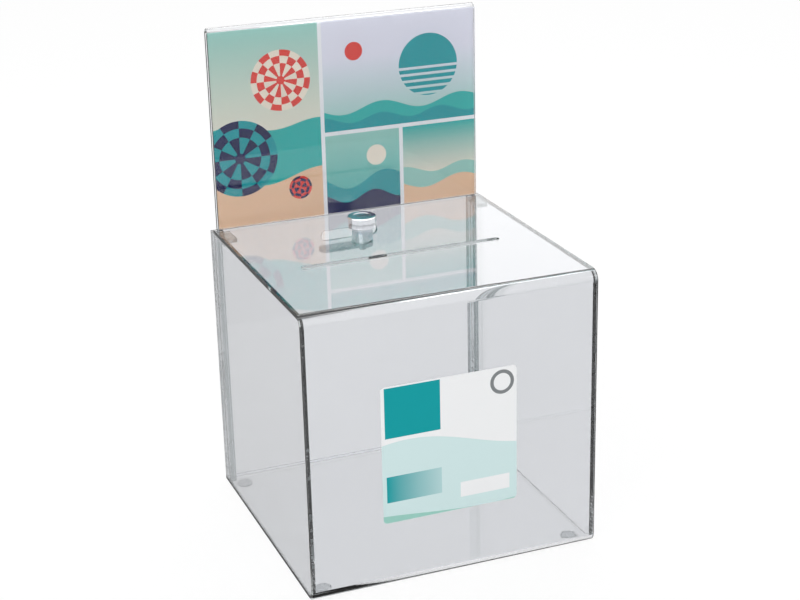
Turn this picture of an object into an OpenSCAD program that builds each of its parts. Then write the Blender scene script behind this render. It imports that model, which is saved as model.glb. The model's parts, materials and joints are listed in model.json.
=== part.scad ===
// Clear ballot box with a folded sign pocket, a sliding rear door and a cam lock.
// The front faces -Y. The origin is under the middle of the box, on the surface it stands on.

/* [Box] */
// Outer width of the box
body_w = 217; // [180:1:300]
// Outer depth of the box, front face to the rear edge of the side panels
body_d = 214; // [180:1:300]
// Outer height of the box, without its feet
body_h = 211; // [160:1:300]
// Thickness of every acrylic sheet
sheet_t = 3; // [2.5:0.5:4]
// Outer radius of the two bends at the front
bend_r = 8; // [6:0.5:14]

/* [Ballot slot] */
// Length of the ballot slot, over its round ends
slot_len = 152; // [100:1:160]
// Width of the ballot slot
slot_w = 5.5; // [4.5:0.5:10]
// Distance from the front face to the middle of the slot
slot_back = 94; // [60:1:110]

/* [Door and sign pocket] */
// Height of the sign above the top of the box
sign_rise = 152; // [110:1:220]
// Free space inside the pocket, where the paper goes
pocket_gap = 2; // [1.5:0.5:4]
// Distance from the back of the door to the rear edge of the side panels
rear_recess = 5.5; // [4:0.5:12]
// Width of the strips that guide the door
guide_w = 4; // [3:0.5:8]
// Depth of the strips in front of the door
guide_front_d = 6; // [3:0.5:10]
// Length of the slot in the door that the cam turns into
keeper_len = 46; // [42:1:60]
// Height of the slot in the door that the cam turns into
keeper_h = 8; // [5:0.5:12]

/* [Poster and label] */
// Width of the paper in the pocket, A5 on its side
poster_w = 210; // [150:1:210]
// Height of the paper in the pocket
poster_h = 148; // [100:1:148]
// Width of the label on the front
label_w = 101; // [40:1:150]
// Height of the label on the front
label_h = 102; // [40:1:150]

/* [Cam lock] */
// Distance from the lock's axis to the front of the door
lock_ahead = 29; // [24:0.5:30]
// Diameter of the lock's head
lock_head_d = 22; // [20:0.5:26]
// Height of the lock's head above the top sheet
lock_head_h = 4.5; // [3.5:0.5:6]
// Diameter of the lock's barrel
lock_barrel_d = 16; // [16:0.5:19]
// Length of the barrel below its head
lock_barrel_len = 18; // [17:0.5:22]
// Distance from the lock's axis to the cam's tip
cam_reach = 35; // [34:0.5:36]
// Number of wafers in the plug
wafer_count = 4; // [2:1:4]

/* [Feet] */
// Diameter of a foot where it meets the floor sheet
foot_d = 12; // [8:0.5:16]
// Height of a foot
foot_h = 2; // [1.5:0.5:5]

/* [Hidden] */

$fn = 96;
overcut = 1;
slide_gap = 0.3;
turn_gap = 0.05;
end_gap = 0.1;

acrylic = [0.86, 0.91, 0.93, 0.35];
chrome_grey = [0.8, 0.81, 0.83];
zinc_grey = [0.66, 0.67, 0.69];
brass_yellow = [0.79, 0.66, 0.36];

// Planes of the box
front_y = -body_d / 2;
rear_y = body_d / 2;
floor_z = foot_h;
top_z = foot_h + body_h;
inner_w = body_w - 2 * sheet_t;
inner_top_z = top_z - sheet_t;
inner_floor_z = floor_z + sheet_t;
inner_bend_r = bend_r - sheet_t;

// Planes of the door and of the pocket that it folds into
door_back_y = rear_y - rear_recess;
door_front_y = door_back_y - sheet_t;
flap_back_y = door_front_y - pocket_gap;
flap_front_y = flap_back_y - sheet_t;
fold_r = sheet_t + pocket_gap / 2;
fold_z = top_z + sign_rise - fold_r;
fold_y = door_front_y - pocket_gap / 2;
door_w = inner_w - 2 * slide_gap;
top_rear_y = door_front_y - slide_gap;
front_guide_y = top_rear_y - guide_front_d;
rear_guide_y = door_back_y + slide_gap;

block_w = 8;
block_d = 20;

poster_t = 0.25;
poster_lift = 0.5;
poster_behind_flap = 0.35;

label_t = 0.2;
label_corner_r = 3;
label_mid_x = -4.5;
label_mid_z = floor_z + 101;

foot_in_x = 13;
foot_in_y = 17;
foot_tip_d = foot_d - 1;

// Levels of the lock, from the top sheet down
lock_y = door_front_y - lock_ahead;
head_top_z = top_z + lock_head_h;
head_rim_r = 1.2;
face_sink = 0.3;
flange_t = 1.2;
flange_r = 7;
barrel_r = lock_barrel_d / 2;
barrel_z = top_z - lock_barrel_len;
barrel_flats = lock_barrel_d - 2;
hole_gap = 0.2;
plug_r = 6;
washer_t = 0.8;
nut_t = 3;
nut_af = lock_barrel_d + 3;
stop_t = 0.9;
stop_r = barrel_r + 0.2;
stop_top_z = barrel_z - end_gap;
cam_t = 2.4;
cam_top_z = stop_top_z - stop_t;
cam_z = cam_top_z - cam_t;
cam_w = 12;
cam_hub_r = 8;
tail_r = 4;
tail_flats = 5.6;
tail_z = cam_z + 0.2;
screw_r = 1.5;
screw_depth = 8;
screw_head_r = 3;
screw_head_h = 2.2;
screw_socket_af = 2.5;
socket_depth = 1.3;
screw_tip_gap = 1;
screw_washer_r = 5;
screw_washer_z = cam_z - washer_t;
screw_head_z = screw_washer_z - screw_head_h;

// The tab of the stop washer turns a quarter inside a notch of the barrel's end
turn_deg = 90;
tab_deg = 24;
tab_rise = 1.4;
tab_in_r = plug_r + 0.4;
tab_out_r = barrel_r - 0.1;
notch_h = tab_rise + 0.3;
notch_spare_deg = 1;

// Keyway and wafers
key_half_len = 4.2;
key_half_t = 1.2;
key_step = 0.6;
key_overlap = 0.2;
wafer_t = 1;
wafer_half_w = 3.35;
wafer_r = plug_r - 0.15;
window_half_w = 1.5;
pocket_t = wafer_t + 0.2;
pocket_half_w = wafer_half_w + 0.1;
wafer_pitch = 3;
first_wafer_z = barrel_z + 4;
lug_u = -3.4;
lug_w = 1;
lug_v = 4.8;
lug_gap = 0.1;
spring_z_room = 1.8;
spring_v = 4.15;
spring_coil_r = 0.55;
spring_wire_r = 0.13;
spring_turns = 4;
spring_steps = 10;
spring_sides = 6;
spring_end_u = 2.6;
key_depth_z = first_wafer_z - 1.5;

// Outline of the box seen from the side: two rounded front corners, square behind.
// x is the distance from the outline's front, y the height.
module side_outline(depth, height, r) {
    translate([r, 0])
        square([depth - r, height]);
    translate([0, r])
        square([depth, height - 2 * r]);
    for (z = [r, height - r])
        translate([r, z])
            circle(r);
}

// Turns a side view, drawn in y and z, into a plate that spans x_from to x_from + width
module across(x_from, width) {
    translate([x_from, 0, 0])
        rotate([90, 0, 90])
            linear_extrude(width)
                children();
}

// A bar with round ends, centred, lying along x and pierced along z
module stadium(length, width, height) {
    translate([-(length - width) / 2, -width / 2, 0])
        cube([length - width, width, height]);
    for (side = [-1, 1])
        translate([side * (length - width) / 2, 0, 0])
            cylinder(h = height, d = width);
}

// A disc with two flats that face +X and -X
module two_flats(r, flats, height) {
    intersection() {
        cylinder(h = height, r = r);
        translate([-flats / 2, -r - overcut, 0])
            cube([flats, 2 * (r + overcut), height]);
    }
}

// A wedge of the circle, from one angle to another, less than a half turn
module wedge(from_deg, to_deg, r, height) {
    reach = r / cos((to_deg - from_deg) / 4);
    linear_extrude(height)
        polygon(concat([[0, 0]], [
            for (i = [0:2])
                let (a = from_deg + (to_deg - from_deg) * i / 2)
                    reach * [cos(a), sin(a)]
        ]));
}

// Everything of the lock is drawn about its own axis
module at_lock() {
    translate([0, lock_y, 0])
        children();
}

// One sheet, heated and bent twice: the top, the front and the floor
module wrap_sheet() {
    color(acrylic)
        difference() {
            across(-body_w / 2, body_w)
                difference() {
                    translate([front_y, floor_z])
                        side_outline(body_d, body_h, bend_r);
                    translate([front_y + sheet_t, floor_z + sheet_t])
                        side_outline(body_d, body_h - 2 * sheet_t, inner_bend_r);
                    translate([top_rear_y, inner_top_z - overcut])
                        square([rear_y - top_rear_y + overcut, sheet_t + 2 * overcut]);
                }
            translate([0, front_y + slot_back, inner_top_z - overcut])
                stadium(slot_len, slot_w, sheet_t + 2 * overcut);
            at_lock()
                translate([0, 0, inner_top_z - overcut])
                    two_flats(barrel_r + hole_gap, barrel_flats + 2 * hole_gap, sheet_t + 2 * overcut);
        }
}

// Side panels fill the wrap from the inside, so their front corners follow its bends
module side_panel(side) {
    color(acrylic)
        across(side > 0 ? inner_w / 2 : -body_w / 2, sheet_t)
            translate([front_y + sheet_t, inner_floor_z])
                side_outline(body_d - sheet_t, body_h - 2 * sheet_t, inner_bend_r);
}

module side_panel_left() {
    side_panel(-1);
}

module side_panel_right() {
    side_panel(1);
}

// A strip glued upright inside a side panel, from the floor to the underside of the top
module guide(side, y_from, depth) {
    color(acrylic)
        translate([side > 0 ? inner_w / 2 - guide_w : -inner_w / 2, y_from, inner_floor_z])
            cube([guide_w, depth, inner_top_z - inner_floor_z]);
}

module front_guide_left() {
    guide(-1, front_guide_y, guide_front_d);
}

module front_guide_right() {
    guide(1, front_guide_y, guide_front_d);
}

module rear_guide_left() {
    guide(-1, rear_guide_y, rear_y - rear_guide_y);
}

module rear_guide_right() {
    guide(1, rear_guide_y, rear_y - rear_guide_y);
}

// Small block that stiffens the glued corner under the top
module corner_block(side) {
    color(acrylic)
        translate([
            side > 0 ? inner_w / 2 - block_w : -inner_w / 2,
            front_guide_y - block_d,
            inner_top_z - sheet_t
        ])
            cube([block_w, block_d, sheet_t]);
}

module corner_block_left() {
    corner_block(-1);
}

module corner_block_right() {
    corner_block(1);
}

// Square paper label with rounded corners, stuck on the outside of the front
module front_label() {
    straight_w = label_w - 2 * label_corner_r;
    straight_h = label_h - 2 * label_corner_r;
    color("azure")
        translate([label_mid_x, front_y, label_mid_z])
            rotate([90, 0, 0])
                linear_extrude(label_t) {
                    square([label_w, straight_h], center = true);
                    square([straight_w, label_h], center = true);
                    for (x = [-1, 1], z = [-1, 1])
                        translate([x * straight_w / 2, z * straight_h / 2])
                            circle(label_corner_r);
                }
}

// Four clear feet under the corners of the floor
module bumper_feet() {
    color([0.9, 0.92, 0.93, 0.5])
        for (x = [-1, 1], y = [-1, 1])
            translate([x * (body_w / 2 - foot_in_x), y * (body_d / 2 - foot_in_y), 0])
                cylinder(h = foot_h, d1 = foot_tip_d, d2 = foot_d);
}

// The loose door and the sign are one sheet: it is folded back on itself at the top,
// and the flap in front ends just above the top of the box
module door_sheet() {
    color(acrylic)
        difference() {
            across(-door_w / 2, door_w) {
                translate([door_front_y, inner_floor_z + slide_gap])
                    square([sheet_t, fold_z - inner_floor_z - slide_gap]);
                translate([flap_front_y, top_z + slide_gap])
                    square([sheet_t, fold_z - top_z - slide_gap]);
                difference() {
                    translate([fold_y, fold_z])
                        circle(fold_r);
                    translate([fold_y, fold_z])
                        circle(pocket_gap / 2);
                    translate([fold_y - fold_r - overcut, fold_z - fold_r - overcut])
                        square([2 * (fold_r + overcut), fold_r + overcut]);
                }
            }
            translate([0, door_back_y + overcut, cam_z + cam_t / 2])
                rotate([90, 0, 0])
                    stadium(keeper_len, keeper_h, sheet_t + 2 * overcut);
        }
}

// The paper stands in the pocket just behind the flap
module poster() {
    color("lightseagreen")
        translate([-poster_w / 2, flap_back_y + poster_behind_flap, top_z + poster_lift])
            cube([poster_w, poster_t, poster_h]);
}

// Head and barrel of the lock in one piece, bored for the plug, flattened on two sides,
// and notched at its lower end for the tab of the stop washer
module lock_housing() {
    color(chrome_grey)
        at_lock()
            difference() {
                union() {
                    rotate_extrude() {
                        translate([0, top_z])
                            square([lock_head_d / 2, lock_head_h - head_rim_r]);
                        translate([0, top_z])
                            square([lock_head_d / 2 - head_rim_r, lock_head_h]);
                        translate([lock_head_d / 2 - head_rim_r, head_top_z - head_rim_r])
                            circle(head_rim_r);
                    }
                    translate([0, 0, barrel_z])
                        two_flats(barrel_r, barrel_flats, lock_barrel_len);
                }
                translate([0, 0, barrel_z - overcut])
                    cylinder(h = lock_barrel_len + lock_head_h + 2 * overcut, r = plug_r + turn_gap);
                translate([0, 0, head_top_z - face_sink - flange_t - turn_gap])
                    cylinder(h = flange_t + face_sink + overcut, r = flange_r + turn_gap);
                translate([0, 0, barrel_z - overcut])
                    wedge(
                        -turn_deg - tab_deg / 2 - notch_spare_deg,
                        tab_deg / 2 + notch_spare_deg,
                        barrel_r + overcut,
                        notch_h + overcut
                    );
            }
}

module lock_washer() {
    color(zinc_grey)
        at_lock()
            translate([0, 0, inner_top_z - washer_t])
                difference() {
                    cylinder(h = washer_t, r = nut_af / 2);
                    translate([0, 0, -overcut])
                        cylinder(h = washer_t + 2 * overcut, r = barrel_r + turn_gap);
                }
}

module lock_nut() {
    color(zinc_grey)
        at_lock()
            translate([0, 0, inner_top_z - washer_t - nut_t])
                difference() {
                    cylinder(h = nut_t, r = nut_af / 2 / cos(30), $fn = 6);
                    translate([0, 0, -overcut])
                        cylinder(h = nut_t + 2 * overcut, r = barrel_r + turn_gap);
                }
}

// Level of the middle of one wafer
function wafer_z(i) = first_wafer_z + i * wafer_pitch;

// Stepped opening that the key goes into
module keyway_outline() {
    translate([-key_half_len, -key_overlap])
        square([key_half_len + key_step, key_half_t + key_overlap]);
    translate([-key_step, -key_half_t])
        square([key_half_len + key_step, key_half_t + key_overlap]);
}

// Turning core: flange, body with the keyway and the wafers' pockets, and a tail with
// two flats for the stop washer and the cam
module lock_plug() {
    color(chrome_grey)
        at_lock()
            difference() {
                union() {
                    translate([0, 0, head_top_z - face_sink - flange_t])
                        cylinder(h = flange_t, r = flange_r);
                    translate([0, 0, stop_top_z])
                        cylinder(h = head_top_z - face_sink - flange_t - stop_top_z, r = plug_r);
                    translate([0, 0, tail_z])
                        two_flats(tail_r, tail_flats, stop_top_z - tail_z);
                }
                translate([0, 0, key_depth_z])
                    linear_extrude(head_top_z - key_depth_z)
                        keyway_outline();
                for (i = [0:wafer_count - 1]) {
                    translate([-plug_r - overcut, -pocket_half_w, wafer_z(i) - pocket_t / 2])
                        cube([2 * (plug_r + overcut), 2 * pocket_half_w, pocket_t]);
                    translate([lug_u - lug_gap, 0, wafer_z(i) - spring_z_room / 2])
                        cube([spring_end_u - lug_u + lug_gap, lug_v + lug_gap, spring_z_room]);
                }
                translate([0, 0, tail_z - overcut])
                    cylinder(h = screw_depth + overcut, r = screw_r);
            }
}

// Thin plates with a window for the key, drawn in as the key holds them
module wafers() {
    color(brass_yellow)
        at_lock()
            for (i = [0:wafer_count - 1])
                translate([0, 0, wafer_z(i) - wafer_t / 2])
                    linear_extrude(wafer_t)
                        difference() {
                            union() {
                                intersection() {
                                    square([2 * plug_r, 2 * wafer_half_w], center = true);
                                    circle(wafer_r);
                                }
                                translate([lug_u, 0])
                                    square([lug_w, lug_v]);
                            }
                            square([2 * key_half_len, 2 * window_half_w], center = true);
                        }
}

// Centre line of a spring at a share of its length, and a ring of wire round it
function coil_point(s) =
    let (a = 360 * spring_turns * s)
        [
            lug_u + lug_w + spring_wire_r + s * (spring_end_u - lug_u - lug_w - 2 * spring_wire_r),
            spring_v + spring_coil_r * cos(a),
            spring_coil_r * sin(a)
        ];

function coil_ring(s) =
    let (a = 360 * spring_turns * s)
        [
            for (k = [0:spring_sides - 1])
                let (b = 360 * k / spring_sides)
                    coil_point(s) + spring_wire_r * [sin(b), cos(b) * cos(a), cos(b) * sin(a)]
        ];

// One coil spring as a closed tube swept along its helix
module coil_spring() {
    rings = spring_turns * spring_steps;
    points = [for (i = [0:rings]) each coil_ring(i / rings)];
    walls = [
        for (i = [0:rings - 1], k = [0:spring_sides - 1])
            let (
                a = i * spring_sides + k,
                b = i * spring_sides + (k + 1) % spring_sides
            )
                each [[b, a, a + spring_sides], [b, a + spring_sides, b + spring_sides]]
    ];
    first_end = [for (k = [0:spring_sides - 1]) k];
    last_end = [for (k = [spring_sides - 1:-1:0]) rings * spring_sides + k];
    polyhedron(points, concat(walls, [first_end, last_end]));
}

module wafer_springs() {
    color(zinc_grey)
        at_lock()
            for (i = [0:wafer_count - 1])
                translate([0, 0, wafer_z(i)])
                    coil_spring();
}

// Ring on the plug's tail with a tab that stands up into the barrel's notch
module stop_washer() {
    color(zinc_grey)
        at_lock()
            difference() {
                union() {
                    translate([0, 0, cam_top_z])
                        cylinder(h = stop_t, r = stop_r);
                    intersection() {
                        translate([0, 0, cam_top_z])
                            cylinder(h = stop_t + end_gap + tab_rise, r = tab_out_r);
                        translate([0, 0, cam_top_z])
                            wedge(-tab_deg / 2, tab_deg / 2, barrel_r + overcut, stop_t + end_gap + tab_rise);
                    }
                }
                translate([0, 0, stop_top_z])
                    cylinder(h = end_gap + tab_rise + overcut, r = tab_in_r);
                translate([0, 0, cam_top_z - overcut])
                    two_flats(tail_r, tail_flats, stop_t + 2 * overcut);
            }
}

// Flat bar on the plug's tail. It points to -X when the lock is open.
module cam() {
    color(zinc_grey)
        at_lock()
            translate([0, 0, cam_z])
                difference() {
                    union() {
                        cylinder(h = cam_t, r = cam_hub_r);
                        translate([-cam_reach + cam_w / 2, -cam_w / 2, 0])
                            cube([cam_reach - cam_w / 2, cam_w, cam_t]);
                        translate([-cam_reach + cam_w / 2, 0, 0])
                            cylinder(h = cam_t, d = cam_w);
                    }
                    translate([0, 0, -overcut])
                        two_flats(tail_r, tail_flats, cam_t + 2 * overcut);
                }
}

module cam_screw_washer() {
    color(zinc_grey)
        at_lock()
            translate([0, 0, screw_washer_z])
                difference() {
                    cylinder(h = washer_t, r = screw_washer_r);
                    translate([0, 0, -overcut])
                        cylinder(h = washer_t + 2 * overcut, r = screw_r + end_gap);
                }
}

// Cap screw with a hexagon socket, turned up into the plug's tail
module cam_screw() {
    shank_len = tail_z - screw_head_z - screw_head_h + screw_depth - screw_tip_gap;
    color(zinc_grey)
        at_lock()
            translate([0, 0, screw_head_z])
                difference() {
                    union() {
                        cylinder(h = screw_head_h, r = screw_head_r);
                        translate([0, 0, screw_head_h])
                            cylinder(h = shank_len, r = screw_r - turn_gap);
                    }
                    translate([0, 0, -overcut])
                        cylinder(h = overcut + socket_depth, r = screw_socket_af / 2 / cos(30), $fn = 6);
                }
}

wrap_sheet();
side_panel_left();
side_panel_right();
front_guide_left();
front_guide_right();
rear_guide_left();
rear_guide_right();
corner_block_left();
corner_block_right();
front_label();
bumper_feet();
door_sheet();
poster();
lock_housing();
lock_washer();
lock_nut();
lock_plug();
wafers();
wafer_springs();
stop_washer();
cam();
cam_screw_washer();
cam_screw();
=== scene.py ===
import json
import math

import bmesh
import bpy
from bpy.props import FloatProperty, FloatVectorProperty, PointerProperty
from bpy.types import Operator, Panel, PropertyGroup
from mathutils import Matrix, Vector


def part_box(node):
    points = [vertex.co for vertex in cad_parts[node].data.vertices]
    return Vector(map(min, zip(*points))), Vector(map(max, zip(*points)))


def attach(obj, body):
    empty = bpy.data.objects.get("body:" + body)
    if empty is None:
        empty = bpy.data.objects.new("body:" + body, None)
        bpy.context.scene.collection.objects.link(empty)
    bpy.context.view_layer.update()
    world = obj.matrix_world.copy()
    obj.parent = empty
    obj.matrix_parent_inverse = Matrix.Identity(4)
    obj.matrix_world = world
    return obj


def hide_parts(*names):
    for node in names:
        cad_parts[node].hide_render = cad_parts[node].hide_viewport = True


bl_info = {
    "name": "Clear Ballot Box",
    "version": (1, 0, 0),
    "blender": (4, 5, 0),
    "location": "View3D > Sidebar > Ballot Box",
    "description": "Acrylic sheets, printed papers, lock and studio of a ballot box with a sign pocket",
    "category": "Object",
}

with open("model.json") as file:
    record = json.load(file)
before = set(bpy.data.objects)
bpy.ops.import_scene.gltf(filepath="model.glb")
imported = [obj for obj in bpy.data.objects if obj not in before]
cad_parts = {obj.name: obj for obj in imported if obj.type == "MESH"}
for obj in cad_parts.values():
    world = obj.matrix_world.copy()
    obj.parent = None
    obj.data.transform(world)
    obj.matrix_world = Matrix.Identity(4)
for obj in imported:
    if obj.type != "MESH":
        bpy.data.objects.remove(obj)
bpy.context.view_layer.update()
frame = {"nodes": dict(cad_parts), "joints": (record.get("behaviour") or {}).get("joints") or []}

# Lengths are in metres, and those of the box come from its nodes
MM = 0.001
WRAP_LOW, WRAP_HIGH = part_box("wrap_sheet")
PANEL_LOW, PANEL_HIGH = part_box("side_panel_right")
DOOR_LOW, DOOR_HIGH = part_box("door_sheet")
POSTER_LOW, POSTER_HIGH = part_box("poster")
LABEL_LOW, LABEL_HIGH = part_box("front_label")
CAM_LOW, CAM_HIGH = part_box("cam")
SHEET = PANEL_HIGH.x - PANEL_LOW.x
TOP_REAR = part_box("front_guide_left")[1].y
# The flap in front of the poster ends this far above the top sheet
FLAP_GAP = 0.3 * MM
FLAP_FOOT = WRAP_HIGH.z + FLAP_GAP
LOCK_AXIS = Vector(next(j for j in frame["joints"] if j["name"] == "lock_turn")["pos_m"])

# Clear faces that touch are drawn a hair apart, so that each one refracts by itself
HAIR = 0.02 * MM
# A glued joint keeps a thin seam, whose faces shine as they do in the real box
SEAM = 0.05 * MM
# Points nearer than this are one point, and edges sharper than this are bevelled
MERGE = 0.01 * MM
SHARP = math.radians(40)
# A normal or an edge runs along an axis when this much of it does
ALIGNED = 0.9999
X_AXIS, Y_AXIS, Z_AXIS = range(3)

# Round ends and folds stop a hair short of meeting, so that no face is left without width
SLOT_ROUND = 0.999
FOLD_ROUND = 0.9995
BEND_SEGMENTS, FOLD_SEGMENTS, PANEL_SEGMENTS, SLOT_SEGMENTS = 20, 16, 14, 10
# Mills reach well through a sheet, and the door's mill stops short of the flap
TOP_MILL = 4 * SHEET
DOOR_MILL = 2 * SHEET

# A foot's radius under the floor and at its tip, and how far its rims are rounded
FOOT_RADIUS, FOOT_TIP, FOOT_ROUND = 6.0 * MM, 5.5 * MM, 0.5 * MM

# A wave texture at a scale of one repeats after this length
WAVE_REPEAT = math.pi / 10
# Rings left by the turning tool on the plug's face
RING_PITCH = 0.4 * MM

# Places of two sheet materials on a piece, after the clear one that comes first
CUT, GLUED = 1, 2

# Sockets of a Mix node that mixes colours
MIX_A, MIX_B, MIX_OUT = 6, 7, 2

# Prints are laid out in millimetres from the lower left corner of their paper.
# Pictures on the poster, from corner to corner
TALL_PICTURE = ((0, 0), (84, 148))
WIDE_PICTURE = ((87, 64), (210, 148))
LEFT_TILE = ((87, 0), (147, 61))
RIGHT_TILE = ((150, 0), (210, 61))

# Parasols: centre and radius in millimetres, number of panels, and their two colours
PARASOLS = (
    ((20, 52), 29, 12, "navy", "teal"),
    ((54, 108), 23, 16, "coral", "cream"),
    ((66, 24), 9, 8, "coral", "navy"),
)
# Shares of a parasol's radius: middle and half width of the ring that swaps its colours, and its cap
SWAP_RING, SWAP_HALF, CAP = 0.68, 0.12, 0.14

# Suns: centre and radius. The striped one has the pitch of its bars, and the share left between them.
STRIPED_SUN, BAR_PITCH, BAR_GAP = ((172, 108), 24), 5, 0.4
RED_SUN = ((112, 124), 7)
PALE_SUN = ((128, 42), 8)

# Heights between which each sky changes colour
TALL_SKY, WIDE_SKY, LEFT_SKY, RIGHT_SKY = (60, 148), (64, 120), (0, 61), (20, 61)

# Waves and hills, the farthest first: level, height, length, start in radians, and ink
TALL_WAVES = ((74, 3, 70, 0.5, "turquoise"), (34, 5, 90, 2.0, "sand"))
WIDE_WAVES = ((80, 4, 64, 1.0, "turquoise"), (72, 3, 48, 3.0, "teal"))
LEFT_WAVES = ((24, 6, 60, 0.0, "teal"), (11, 4, 44, 2.5, "navy"))
RIGHT_WAVES = ((26, 3, 50, 1.5, "sky"), (15, 4, 62, 0.3, "sand"))
LABEL_WAVES = ((52, 9, 190, 0.9, "mint"), (3, 3, 190, 2.2, "sky"))

# Blocks on the label, from corner to corner, and its ring: centre, outer and inner radius
TEAL_BLOCK = ((2.6, 63.8), (43.5, 101.0))
FADED_BAR = ((3.0, 15.4), (43.9, 35.0))
BAR_FADE = (3, 60)
BARE_PANEL = ((58.0, 9.0), (95.5, 20.5))
RING_CENTRE, RING_OUTER, RING_INNER = (90, 91), 9, 6.4

# Gloss of the two papers, as the least roughness of each
POSTER_GLOSS, LABEL_GLOSS = 0.3, 0.35

# Soft lamps: place, width and height, and the point that they all shine at
KEY_PLACE, KEY_SIZE = (-1.3, -1.4, 1.7), (1.5, 1.1)
TOP_PLACE, TOP_SIZE = (0.5, 1.1, 1.7), (1.4, 0.6)
LAMP_TARGET = (0.0, 0.0, 0.15)

# The floor's own glow, its glow in reflections, and how far that covers its shadow
FLOOR_GLOW, FLOOR_MIRRORED, FLOOR_CLEAN = 1.03, 0.3, 0.86
# The room in reflections, below and above, and how far from level it gets there
ROOM_BELOW, ROOM_ABOVE, ROOM_TILT = 0.25, 2.0, 0.3
# Light that comes to a paper through a clear sheet makes up for what the sheet takes
SHEET_MAKE_UP = 3.6


def linear(hex_colour):
    """Turn an sRGB hex colour into linear red, green, blue and alpha."""
    channels = [int(hex_colour[i:i + 2], 16) / 255 for i in (1, 3, 5)]
    curve = [c / 12.92 if c <= 0.04045 else ((c + 0.055) / 1.055) ** 2.4 for c in channels]
    return (*curve, 1.0)


def length_property(name, description, default):
    return FloatProperty(name=name, description=description, default=default, min=0.0, unit="LENGTH")


def colour_property(name, description, hex_colour):
    return FloatVectorProperty(
        name=name, description=description, subtype="COLOR", size=4, min=0.0, max=1.0,
        default=linear(hex_colour),
    )


class SheetSettings(PropertyGroup):
    """Sizes and tints of the acrylic sheets."""

    bend_radius: length_property("Bend radius", "Outer radius of the bends at the front", 8 * MM)
    slot_length: length_property("Slot length", "Ballot slot over its round ends", 152 * MM)
    slot_width: length_property("Slot width", "Width of the ballot slot", 5.5 * MM)
    slot_back: length_property("Slot place", "From the front face to the middle of the slot", 94 * MM)
    keeper_length: length_property("Keeper length", "Slot in the door for the cam", 46 * MM)
    keeper_height: length_property("Keeper height", "Height of the slot for the cam", 8 * MM)
    hole_radius: length_property("Lock hole", "Radius of the hole for the lock's barrel", 8.2 * MM)
    hole_flat: length_property("Lock hole flats", "From the lock's axis to a flat of its hole", 7.2 * MM)
    arris: length_property("Arris", "Width of the bevel on every cut edge", 0.3 * MM)
    tint: colour_property("Tint", "What one sheet lets through", "#ebecee")
    cut_tint: colour_property("Edge tint", "Colour of a cut edge, seen into the sheet", "#d3d9d9")
    bubble: colour_property("Bubbles", "Colour of the flaws in a glued seam", "#8f989b")


class PrintSettings(PropertyGroup):
    """Inks of the poster and of the label."""

    paper: colour_property("Paper", "Unprinted paper", "#f6f7f8")
    teal: colour_property("Teal", "Strong blue green", "#12a0a6")
    turquoise: colour_property("Turquoise", "Water", "#2bb7b0")
    navy: colour_property("Navy", "Darkest ink", "#141a52")
    coral: colour_property("Coral", "Warm red", "#e8443a")
    cream: colour_property("Cream", "Light panels and haze", "#f5ead8")
    sand: colour_property("Sand", "Dunes", "#f2c9a5")
    sky: colour_property("Sky", "Green blue sky", "#9fd3c7")
    lavender: colour_property("Lavender", "Pale ground", "#e9e9f4")
    mint: colour_property("Mint", "Pale wave on the label", "#d5ecec")
    stamp: colour_property("Stamp", "Grey ring on the label", "#85898b")


class LockSettings(PropertyGroup):
    """Metals of the lock."""

    chrome: colour_property("Chrome", "Bright plate on the head and plug", "#dfe1e4")
    zinc: colour_property("Zinc", "Plate on the washers, nut, cam and screw", "#c4c8cc")
    brass: colour_property("Brass", "Stamped wafers", "#cfae68")
    steel: colour_property("Steel", "Drawn spring wire", "#b4b7ba")
    thread_pitch: length_property("Thread pitch", "Pitch of the thread on the barrel", 1 * MM)


class StageSettings(PropertyGroup):
    """Camera, lamps and floor."""

    azimuth: FloatProperty(
        name="Azimuth", description="Camera's turn round the box", subtype="ANGLE",
        default=math.radians(-21.145),
    )
    elevation: FloatProperty(
        name="Elevation", description="Camera's tilt down", subtype="ANGLE",
        default=math.radians(20.41),
    )
    roll: FloatProperty(
        name="Roll", description="Camera's turn about its own axis", subtype="ANGLE",
        default=math.radians(-1.4),
    )
    place: FloatVectorProperty(
        name="Camera", description="Where the camera stands", subtype="TRANSLATION", unit="LENGTH",
        default=(-0.4268, -1.1098, 0.6148),
    )
    lens: FloatProperty(name="Lens", description="Focal length in millimetres", default=78.11)
    room_level: FloatProperty(name="Room light", description="Light from all round", default=0.72)
    key_power: FloatProperty(
        name="Key lamp", description="Large soft lamp at the front left", subtype="POWER", default=15.0,
    )
    top_power: FloatProperty(
        name="Top lamp", description="Soft lamp above and behind", subtype="POWER", default=9.0,
    )


def add(tree, kind, inputs=None, **settings):
    """Add a node, set it up, and fill its inputs with values or links."""
    node = tree.nodes.new(kind)
    for name, value in settings.items():
        setattr(node, name, value)
    for name, value in (inputs or {}).items():
        socket = node.inputs[name]
        if isinstance(value, bpy.types.NodeSocket):
            tree.links.new(value, socket)
        else:
            socket.default_value = value
    return node


def new_finish(name):
    """A material with an empty node tree, and the place on its piece that its patterns follow."""
    material = bpy.data.materials.new(name)
    material.use_nodes = True
    tree = material.node_tree
    tree.nodes.clear()
    place = add(tree, "ShaderNodeTexCoord").outputs["Object"]
    return material, tree, place


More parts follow.
